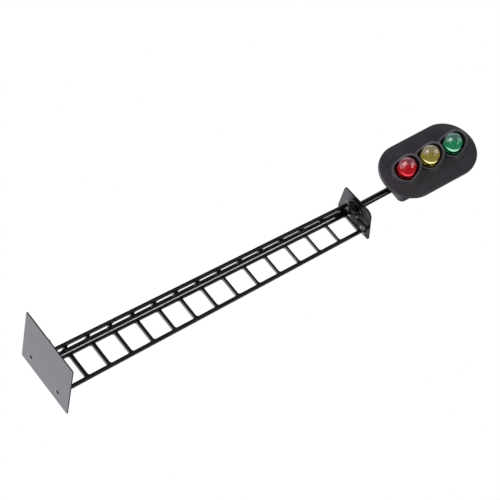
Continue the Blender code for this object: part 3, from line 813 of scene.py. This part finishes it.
# the side ladder runs from front to back and leans over with the post
shear = Matrix.Identity(4)
shear[0][2] = POST_LEAN / TAPER_RUN
side_place = Matrix.Translation((POST_LEFT + SIDE_INSET + SIDE_SHEET / 2, 0, 0)) @ shear
side = ladder(
    "side",
    rungs=[z - SIDE_RUNG_DROP for z in front_rungs],
    half=lambda z: SIDE_RUNG_H / 2,
    outer=(side_front, lambda z: STRIP_BACK),
    sides=(
        lambda z: side_front(z) + SIDE_RAIL_W - SIDE_RAIL_SLIM,
        lambda z: SIDE_STRIP_FRONT,
    ),
    thickness=SIDE_SHEET, radius=SIDE_WINDOW_R, bevel=0.06,
    matrix=side_place @ Matrix.Rotation(math.radians(90), 4, "Z") @ UPRIGHT,
)
paint = enamel("ladder_enamel_side", shade=0.010, rough=0.13)
finished(side, "side_ladder_enamelled", "mast", paint, "side_ladder")


def seam_ring(z):
    """The hollow fillet between the two ladders, a little uneven along its length."""
    x, y = post_left(z) + SIDE_INSET + SIDE_SHEET - 0.02, FRONT_Y + 0.02
    slow = noise.noise(Vector((0, 0, z / 2.2)))
    quick = noise.noise(Vector((3, 0, z / 0.6)))
    leg = 0.60 + 0.07 * slow + 0.03 * quick
    ring = [(x, y, z), (x, y - leg, z)]
    for k in range(1, 8):
        share = k / 8
        sag = 0.09 * leg * math.sin(math.pi * share)
        ring.append((x + leg * share - sag, y - leg * (1 - share) + sag, z))
    return ring + [(x + leg, y, z)]


seam_loops = [seam_ring(FOOT + 0.15 + (TOP - FOOT - 0.3) * i / 160) for i in range(161)]
seam = lofted("seam", seam_loops, cap_start=True, cap_end=True)
paint = solder_paint("seam_enamel", shade=0.01)
finished(seam, "corner_solder_run", "mast", paint, "corner_solder_seam", 60)


# ---------------------------------------------------------------- solder at the rail ends
BLOB_H = 0.62
LUMP_SIZE = 0.45
LUMP_H = 0.07


def solder_blob(name, place, radius, sign, seed):
    """A wetted blob: broad skirt on the plate, drawn along the rail (sign 1 up, -1 down)."""
    profile = [(0.0, -0.04), (radius * 1.12, -0.04)]
    for k in range(13):
        up = k / 12
        bulge = radius * (1.12 * (1 - up) ** 1.6 + 0.42 * (1 - up) ** 0.35 * up**0.6)
        profile.append((max(bulge, 0.02), BLOB_H * up))
    profile.append((0.0, BLOB_H))
    blob = turned(name, profile, 40)
    shift = Vector((seed, seed * 1.7, 0))
    vertices = blob.data.vertices
    for vert, normal in zip(vertices, [vert.normal.copy() for vert in vertices]):
        vert.co += normal * LUMP_H * noise.noise(vert.co / LUMP_SIZE + shift)
    blob.data.transform(Matrix.Translation(place) @ Matrix.Diagonal((1, 1, sign, 1)))
    cleaned(blob.data, 1e-5)
    return blob


def solders(prefix, z, radius, sign, first_seed):
    # spot, x, y, size against the radius
    spots = (
        ("side_rail", post_left(z) + SIDE_INSET + SIDE_SHEET / 2,
         side_front(z) + SIDE_RAIL_W / 2, 1.0),
        ("corner", post_left(z) + 0.5, FRONT_Y + 0.05, 1.25),
        ("front_rail", rail_right(z) - RAIL_W / 2, FRONT_Y + SHEET / 2, 1.0),
    )
    for k, (spot, x, y, size) in enumerate(spots):
        name = f"{prefix}_{spot}"
        seed = 3.1 * k + first_seed
        blob = solder_blob(prefix + spot, (x, y, z), radius * size, sign, seed)
        finished(blob, f"{name}_blob", "mast", solder_paint(f"{name}_enamel"), name, 70)


solders("foot_solder", BASE_T, radius=0.60, sign=1, first_seed=0)
solders("top_solder", MAST_TOP, radius=0.72, sign=-1, first_seed=20)


# ---------------------------------------------------------------- plates keep their frame shape
def weld_node(name):
    weld = nodes[name].modifiers.new("weld", "WELD")
    weld.merge_threshold = 1e-6


def soften_node(name, width):
    """Round the edges of a frame piece a little, as paint does."""
    weld_node(name)
    obj = nodes[name]
    flat = obj.modifiers.new("flat", "DECIMATE")
    flat.decimate_type = "DISSOLVE"
    flat.angle_limit = math.radians(0.5)
    edge = obj.modifiers.new("edge", "BEVEL")
    edge.width = width * MM
    edge.segments = 3
    edge.limit_method = "ANGLE"
    edge.angle_limit = math.radians(50)
    edge.harden_normals = False
    for poly in obj.data.polygons:
        poly.use_smooth = True
    normals = obj.modifiers.new("normals", "WEIGHTED_NORMAL")
    normals.keep_sharp = False


def paint_node(name, material):
    materials = nodes[name].data.materials
    materials.clear()
    materials.append(material)


soften_node("base_plate", width=0.03)
paint_node("base_plate", base_enamel("base_enamel"))
soften_node("platform_plate", width=0.035)
paint_node("platform_plate", platform_enamel("platform_enamel"))


# ---------------------------------------------------------------- neck
def case_share(y):
    """Size of the rear casing at a depth against its size at the front."""
    return 1 - BODY_DRAFT * max(0.0, y - CASE_FRONT) / (BODY_BACK - CASE_FRONT)


BUSH_LOW = PLAT_TOP + GAP
BUSH_H = 0.6
BUSH_TOP = BUSH_LOW + BUSH_H
# radius, height over the platform side of the bush
BUSH_PROFILE = (
    (0.64, 0.56), (0.68, BUSH_H), (0.84, BUSH_H), (0.90, 0.585), (0.95, 0.53),
    (0.97, 0.3), (1.0, 0.14), (1.02, 0.06), (1.02, 0.0), (0.64, 0.0),
)
NECK_ENTRY = LAMP_MID - BODY_HALF_H * case_share(0.0)  # casing's underside at the tube
TUBE_LOW = MAST_TOP - 0.62
TUBE_HIGH = NECK_ENTRY + 1.4
TUBE_EDGE = 0.05
PAINTED_TUBE_R = TUBE_R + 0.05

bush = turned(
    "bush", lifted(BUSH_PROFILE, BUSH_LOW), matrix=Matrix.Translation((TUBE_X, TUBE_Y, 0))
)
brass = bright_metal("bush_brass", (0.55, 0.40, 0.16), rough=0.28)
finished(bush, "neck_bush_turned", "mast", brass, "neck_bush")

# the enamel is thickest above the bush, and thin where the tube runs in it
tube = turned("tube", [
    (TUBE_BORE, TUBE_HIGH),
    (PAINTED_TUBE_R - TUBE_EDGE, TUBE_HIGH),
    (PAINTED_TUBE_R, TUBE_HIGH - TUBE_EDGE),
    (PAINTED_TUBE_R, BUSH_TOP + 0.25),
    (TUBE_R, BUSH_TOP + 0.1),
    (TUBE_R, BUSH_LOW),
    (TUBE_R, TUBE_LOW + TUBE_EDGE),
    (TUBE_R - TUBE_EDGE * 0.3, TUBE_LOW + TUBE_EDGE * 0.3),
    (TUBE_R - TUBE_EDGE, TUBE_LOW),
    (TUBE_BORE + TUBE_EDGE, TUBE_LOW),
    (TUBE_BORE, TUBE_LOW + TUBE_EDGE),
    (TUBE_BORE, (TUBE_LOW + TUBE_HIGH) / 2),
], 72)
paint = enamel("tube_enamel", shade=0.004, rough=0.12, relief=0.8, clear=0.0)
finished(tube, "neck_tube_enamelled", "head", paint, "neck_tube")

# the ring under the platform: flat on top, rounded outside and below
RING_HIGH = MAST_TOP - 2 * GAP
RING_BORE = 0.605
ring_profile = [(RING_BORE, RING_HIGH), (0.83, RING_HIGH)]
ring_profile += [
    (0.71 + 0.13 * cos_deg(angle), RING_HIGH - 0.21 - 0.2 * sin_deg(angle))
    for angle in range(-60, 91, 15)
]
ring_profile += [(RING_BORE, RING_HIGH - 0.39)]
ring = turned("ring", ring_profile, 72)
paint = wet_black("ring_enamel")
finished(ring, "tube_lock_ring_soldered", "head", paint, "tube_lock_ring", 60)

# the drop of varnish in the tube's mouth: radius, height over the mouth
STOP_PROFILE = (
    (0.0, -0.20), (0.12, -0.19), (0.22, -0.15), (0.30, -0.08), (0.35, 0.02),
    (0.355, 0.08), (0.30, 0.11), (0.0, 0.11),
)
stop = turned("stop", lifted(STOP_PROFILE, TUBE_LOW), 40)
finished(stop, "tube_end_seal", "head", wet_black("seal_enamel"), smooth=70)


def pool_section(angle):
    """Wet paint pooled under the platform round the tube, clear of the ring that turns."""
    cos, sin = math.cos(angle), math.sin(angle)
    broad = noise.noise(Vector((cos * 1.3, sin * 1.3, 4.0)))
    small = noise.noise(Vector((cos * 3, sin * 3, 9.0)))
    near, far = 0.98, 1.75 + 0.35 * broad + 0.18 * small
    # radius, height against the platform's underside
    section = [(near, 0.04), (near, -0.02)]
    for k in range(1, 12):
        share = k / 12
        radius = near + (far - near) * share
        lump = 0.6 + 0.8 * noise.noise(Vector((cos * radius / 1.1, sin * radius / 1.1, 2.0)))
        sag = 0.34 * math.sin(math.pi * share) ** 0.7 * max(0.15, lump)
        section.append((radius, -0.02 - sag))
    section += [(far, -0.005), (far, 0.04)]
    return [
        (TUBE_X + radius * cos, TUBE_Y + radius * sin, MAST_TOP + height)
        for radius, height in section
    ]


pool = lofted("pool", [pool_section(2 * math.pi * i / 96) for i in range(96)], along=True)
finished(pool, "platform_wet_paint", "mast", wet_black("pool_enamel"), smooth=80)


# ---------------------------------------------------------------- face plate with three hoods
HOOD_FOOT = 0.30  # radius of the fillet where the hood meets the face
HOOD_NOSE = 0.12  # radius of the rim's two edges
LENS_HOLE_R = LENS_R + 0.04
# where the rim and the inside start along a hood section
RIM_START = 11
INSIDE_START = 18


def rim_reach(height):
    """How far the hood stands out at a height above the lamp axis."""
    if height <= HOOD_RIM[0][1]:
        return HOOD_RIM[0][0]
    for (low_reach, low), (high_reach, high) in zip(HOOD_RIM, HOOD_RIM[1:]):
        if height <= high:
            return low_reach + (high_reach - low_reach) * ((height - low) / (high - low))
    return HOOD_RIM[-1][0]


def smooth_reach(height):
    shifts = [-0.18, -0.12, -0.06, 0, 0.06, 0.12, 0.18]
    return sum(rim_reach(height + shift) for shift in shifts) / len(shifts)


def hood_loop(angle, lamp_height):
    """The closed section through the hood wall at one angle round the lamp."""
    outer, inner = HOOD_R, HOOD_R - HOOD_WALL
    foot, nose = HOOD_FOOT, HOOD_NOSE
    cos, sin = math.cos(angle), math.sin(angle)
    out_reach, in_reach = smooth_reach(outer * sin), smooth_reach(inner * sin)
    # radius, reach in front of the face
    section = [(outer + foot, -0.10)]
    section += [
        (outer + foot - foot * sin_deg(bend), foot - foot * cos_deg(bend))
        for bend in range(0, 91, 15)
    ]
    if out_reach - nose > foot:
        rise = out_reach - nose - foot
        section += [(outer, foot + rise * share) for share in (0.33, 0.66, 1.0)]
    else:
        section += [(outer, out_reach - nose)] * 3
    section += [
        (outer - nose * (1 - cos_deg(bend)), out_reach - nose + nose * sin_deg(bend))
        for bend in (22, 45, 68, 90)
    ]
    section += [
        (inner + nose * (1 - sin_deg(bend)), in_reach - nose * (1 - cos_deg(bend)))
        for bend in (0, 22, 45, 68, 90)
    ]
    section += [
        (inner, in_reach - nose + (-0.18 - in_reach + nose) * share)
        for share in (0.33, 0.66, 1.0)
    ]
    section += [
        (1.58, -0.18), (LENS_HOLE_R, -0.22), (LENS_HOLE_R, -FACE_T + 0.01),
        (outer - 0.06, -FACE_T + 0.01), (outer - 0.06, -0.35),
    ]
    return [
        (radius * cos, FACE_FRONT - reach, lamp_height + radius * sin)
        for radius, reach in section
    ]


def front_outline(edge):
    """Whether an edge lies on the outline of the face's front."""
    straight = (FACE_H - FACE_W) / 2

    def on_outline(place):
        past_straight = max(0.0, abs(place.z - FACE_Z) - straight)
        at_rim = math.hypot(place.x, past_straight) >= FACE_W / 2 - 0.05
        return at_rim and abs(place.y - FACE_FRONT) < 1e-3

    return is_sharp(edge) and all(on_outline(vert.co) for vert in edge.verts)


lamp_holes = [circle(z, HOOD_R - 0.12, 64) for z in LAMP_Z.values()]
face = plate(
    "face", [stadium(FACE_Z, FACE_W, FACE_H)] + lamp_holes, FACE_BACK - FACE_FRONT,
    Matrix.Translation((0, (FACE_FRONT + FACE_BACK) / 2, 0)) @ UPRIGHT,
)
face = bevelled(face, front_outline, 0.16, segments=5)
face_materials = (
    moulded("face_plastic", shade=0.075, rough=0.42, tone=FACE_TONE),
    # the hood rims are painted paler, as a painted highlight along them
    moulded("hood_rim_painted_highlight", shade=0.14, rough=0.38),
    # the hood insides are painted near black, as painted shade in their hollows
    moulded("hood_inside_painted_shade", shade=0.004, rough=0.5),
)
for material in face_materials:
    face.data.materials.append(material)
for z in LAMP_Z.values():
    loops = [hood_loop(2 * math.pi * i / 144, z) for i in range(144)]
    hood = lofted("hood", loops, along=True)
    for material in face_materials:
        hood.data.materials.append(material)
    for poly in hood.data.polygons:
        step = poly.index % len(loops[0])
        poly.material_index = 2 if step >= INSIDE_START else 1 if step >= RIM_START else 0
    face = boolean(face, hood, "UNION")
finished(face, "signal_face_moulding", "head", stands_for="signal_face", smooth=38)

# ---------------------------------------------------------------- rear casing
CASE_EDGE = 0.55  # radius of the edge round the back


def case_ring(inset, y):
    share = case_share(y)
    x, z, radius = BODY_HALF_W - inset, BODY_HALF_H - inset, max(BODY_R - inset, 0.15)
    points = rounded(((-x, -z, radius), (x, -z, radius), (x, z, radius), (-x, z, radius)), 10)
    return [(x * share, y, LAMP_MID + z * share) for x, z in points]


edge_start = BODY_BACK - CASE_EDGE
case_loops = [
    case_ring(BODY_WALL, CASE_FRONT),
    case_ring(0.04, CASE_FRONT),
    case_ring(0.0, CASE_FRONT + 0.04),
]
case_loops += [
    case_ring(0.0, CASE_FRONT + (edge_start - CASE_FRONT) * share)
    for share in (0.25, 0.5, 0.75, 1.0)
]
case_loops += [
    case_ring(CASE_EDGE * (1 - cos_deg(bend)), edge_start + CASE_EDGE * sin_deg(bend))
    for bend in range(15, 91, 15)
]
case = lofted("case", case_loops, cap_end=True)
inside_loops = [
    case_ring(BODY_WALL, CASE_FRONT + (BODY_BACK - BODY_WALL - CASE_FRONT) * share)
    for share in (0.0, 0.35, 0.7, 1.0)
]
inside = lofted("case_inside", inside_loops, cap_end=True)
with editing(case.data) as edit:
    edit.from_mesh(inside.data)
cleaned(case.data)
drop(inside)
hole_r = TUBE_R + 0.07
hole_profile = ((0, 0.9), (hole_r, 0.9), (hole_r, -2), (0, -2))
case = boolean(case, turned("tube_hole", lifted(hole_profile, NECK_ENTRY), 48))
plastic = moulded("case_plastic", shade=0.022, rough=0.45)
finished(case, "rear_casing_moulding", "head", plastic, "rear_casing", 38)

# ---------------------------------------------------------------- lamps
# absorption tint and density, then the light seen low in the lamp, in its upper half, in its
# soft spots and along its edge
TINTS = {
    "red": (
        (0.95, 0.16, 0.20), 200,
        (0.36, 0.007, 0.013), (0.17, 0.040, 0.055), (0.75, 0.34, 0.34), (0.90, 0.07, 0.09),
    ),
    "yellow": (
        (0.95, 0.90, 0.45), 120,
        (0.21, 0.175, 0.035), (0.20, 0.175, 0.105), (0.68, 0.62, 0.46), (1.0, 0.90, 0.40),
    ),
    "green": (
        (0.25, 0.85, 0.62), 160,
        (0.016, 0.18, 0.080), (0.055, 0.125, 0.098), (0.38, 0.62, 0.52), (0.40, 0.85, 0.60),
    ),
}
LENS_BACK = CASE_FRONT + FLANGE_T
DOME_CENTRE = LENS_BACK - (FACE_FRONT - LENS_PROUD)  # measured forward from the lens's back
CORE_R = 1.36


def lens_profile():
    dome = [
        (LENS_R * sin_deg(angle), DOME_CENTRE + LENS_R * cos_deg(angle))
        for angle in range(3, 91, 3)
    ]
    return [(0.0, DOME_CENTRE + LENS_R), *dome] + [
        (LENS_R, FLANGE_T + 0.08), (LENS_R + 0.06, FLANGE_T), (FLANGE_R - 0.04, FLANGE_T),
        (FLANGE_R, FLANGE_T - 0.04), (FLANGE_R, 0.05), (FLANGE_R - 0.05, 0.0), (0.0, 0.0),
    ]


def bead_profile():
    """The scattering body inside, ending a little behind the dome's widest part."""
    dome = [
        (CORE_R * sin_deg(angle), DOME_CENTRE + CORE_R * cos_deg(angle))
        for angle in range(5, 91, 5)
    ]
    return [(0.0, DOME_CENTRE + CORE_R), *dome] + [
        (CORE_R, DOME_CENTRE - 0.85), (CORE_R - 0.1, DOME_CENTRE - 0.95),
        (0.0, DOME_CENTRE - 0.95),
    ]


def crescent():
    """Gathered light on the bead, on the side away from the sky."""
    loops = []
    middle = DOME_CENTRE - 0.42
    for i in range(33):
        share = i / 32
        angle = math.radians(-27 + 62 * (2 * share - 1))
        width = max(0.02, math.sin(math.pi * share) ** 0.8)
        high, low = middle + 0.26 * width, middle - 0.34 * width
        ring = [
            (CORE_R + 0.01, high), (CORE_R + 0.035, (high + low) / 2), (CORE_R + 0.01, low),
            (CORE_R - 0.03, low), (CORE_R - 0.03, high),
        ]
        cos, sin = math.cos(angle), math.sin(angle)
        loops.append([(radius * cos, radius * sin, height) for radius, height in ring])
    return lofted("arc", loops, cap_start=True, cap_end=True)


for name, z in LAMP_Z.items():
    tint, density, deep, pale, spot, edge_light = TINTS[name]
    stand = Matrix.Translation((0, LENS_BACK, z)) @ UPRIGHT
    lens = turned("lens", lens_profile(), 72, stand)
    clear = epoxy(f"{name}_epoxy", tint, density)
    finished(lens, f"{name}_lens_epoxy", "head", clear, f"{name}_lens", 45)
    bead = turned("body", bead_profile(), 72, stand)
    # the body glows with painted light for the light through the lamp
    glow_look = painted_lamp_glow(f"{name}_body_painted_glow", deep, pale, spot)
    finished(bead, f"{name}_lens_body", "head", glow_look, smooth=60)
    arc = crescent()
    arc.data.transform(stand)
    gathered = glint(f"{name}_glint", edge_light)
    finished(arc, f"{name}_lens_gathered_light", "head", gathered, smooth=60)
    for lead in ("anode", "cathode"):
        silver = bright_metal(f"{name}_{lead}_silver", (0.80, 0.80, 0.78), rough=0.5)
        paint_node(f"{name}_{lead}_lead", silver)
        weld_node(f"{name}_{lead}_lead")
        nodes[f"{name}_{lead}_lead"].data.shade_smooth()

paint_node("lamp_board", board_mask("board_mask"))
paint_node("chip_resistor", moulded("chip_body", shade=0.02, rough=0.4))
WIRES = {
    "common": (0.50, 0.20, 0.07),
    "red": (0.50, 0.03, 0.03),
    "yellow": (0.65, 0.45, 0.05),
    "green": (0.03, 0.30, 0.10),
}
for name, tint in WIRES.items():
    paint_node(f"{name}_wire", varnish(f"{name}_wire_enamel", tint))
    nodes[f"{name}_wire"].data.shade_smooth()

# ---------------------------------------------------------------- stage
bpy.ops.mesh.primitive_circle_add(
    vertices=96, radius=2.5, fill_type="NGON", location=(0, 0, -0.00025)
)
floor = bpy.context.object
floor.name = "floor"
floor.visible_diffuse = False
floor.visible_glossy = False
floor.visible_transmission = False
floor.visible_shadow = False


def floor_paper(name):
    """Pale paper, clear from below, where the camera stands."""
    look = Look(name).set(rough=0.8, spec=0.1)
    pales = (0.80, 0.80, 0.79), (0.84, 0.84, 0.83)
    look.set(
        colour=look.noise_ramp(scale=9, span=(0.3, 0.7), colours=pales),
        normal=look.noise_bump(scale=700, strength=0.05, distance=0.0001),
    )
    geometry = look.node("ShaderNodeNewGeometry")
    clear = look.node("ShaderNodeBsdfTransparent")
    pick = look.node("ShaderNodeMixShader")
    look.feed(geometry.outputs["Backfacing"], pick.inputs[0])
    look.feed(look.main.outputs[0], pick.inputs[1])
    look.feed(clear.outputs[0], pick.inputs[2])
    look.feed(pick.outputs[0], look.out.inputs["Surface"])
    return look.material


floor.data.materials.append(floor_paper("floor_paper"))

# ---------------------------------------------------------------- a studio, darker at the camera
BASE_LIGHT = 0.05
# direction, angle of full strength, angle where it ends (degrees), strength
GLOWS = (
    ((-0.45, 0.78, -0.43), 12, 66, 1.25),   # bright sweep behind and below
    ((0.40, 0.80, 0.42), 5, 50, 0.20),      # weak, high behind
    ((-0.42, -0.81, 0.42), 10, 60, 0.10),   # weak, high in front
    ((-0.84, -0.02, 0.55), 8, 40, 1.3),     # sky, high on the left
    ((-0.42, -0.12, -0.90), 17, 50, 1.9),   # floor light, low on the left
)
world = bpy.data.worlds.new("studio")
scene.world = world
world.use_nodes = True
studio = Nodes(world.node_tree)
light = studio.node("ShaderNodeValue").outputs[0]
light.default_value = BASE_LIGHT
for direction, inner, outer, strength in GLOWS:
    glow = studio.spread(
        studio.dot(studio.coords["Generated"], direction),
        span=(cos_deg(outer), cos_deg(inner)), to=(0.0, strength), smooth=True,
    )
    light = studio.maths("ADD", light, glow)
# the camera itself sees plain white
camera_ray = studio.node("ShaderNodeLightPath").outputs["Is Camera Ray"]
background = studio.tree.nodes["Background"].inputs
studio.feed(studio.mix(camera_ray, light, 1.0, kind="FLOAT"), background["Strength"])
white = (1.0, 1.0, 1.0)
studio.feed(studio.mix(camera_ray, (1.0, 0.968, 1.047), white), background["Color"])

MAST_TARGET = (0.0014, -0.003, 0.045)
LAMP_TARGET = (0.0014, -0.007, 0.073)
# name, direction from the target, distance, width, height (metres), power (watts), target
SOFTBOXES = (
    ("key_softbox", (0.807, -0.417, 0.418), 0.55, 0.16, 0.26, 0.75, MAST_TARGET),
    ("window_left", (-0.383, -0.632, -0.674), 0.55, 0.09, 0.26, 0.22, LAMP_TARGET),
    ("window_right", (0.489, -0.477, 0.73), 0.55, 0.09, 0.26, 0.15, LAMP_TARGET),
    ("top_softbox", (-0.2, 0.3, 1.0), 0.60, 0.45, 0.45, 1.2, MAST_TARGET),
)
for name, direction, distance, width, height, power, target in SOFTBOXES:
    lamp = bpy.data.lights.new(name, "AREA")
    lamp.shape = "RECTANGLE"
    lamp.size = width
    lamp.size_y = height
    lamp.energy = power
    box = bpy.data.objects.new(name, lamp)
    scene.collection.objects.link(box)
    outward = Vector(direction).normalized()
    box.location = Vector(target) + outward * distance
    box.rotation_mode = "QUATERNION"
    box.rotation_quaternion = (-outward).to_track_quat("-Z", "Y")
    box.visible_camera = False

# ---------------------------------------------------------------- camera
CAMERA_PLACE = (0.151817, -0.293927, -0.122207)
CAMERA_TURN = (137.1391, -53.1703, -13.2312)  # degrees
view = bpy.data.cameras.new("camera")
view.sensor_width = 36.0
view.lens = 165.213
view.clip_start = 0.01
view.clip_end = 20.0
camera = bpy.data.objects.new("camera", view)
scene.collection.objects.link(camera)
camera.location = CAMERA_PLACE
camera.rotation_euler = [math.radians(angle) for angle in CAMERA_TURN]
scene.camera = camera

scene.view_settings.view_transform = "Standard"
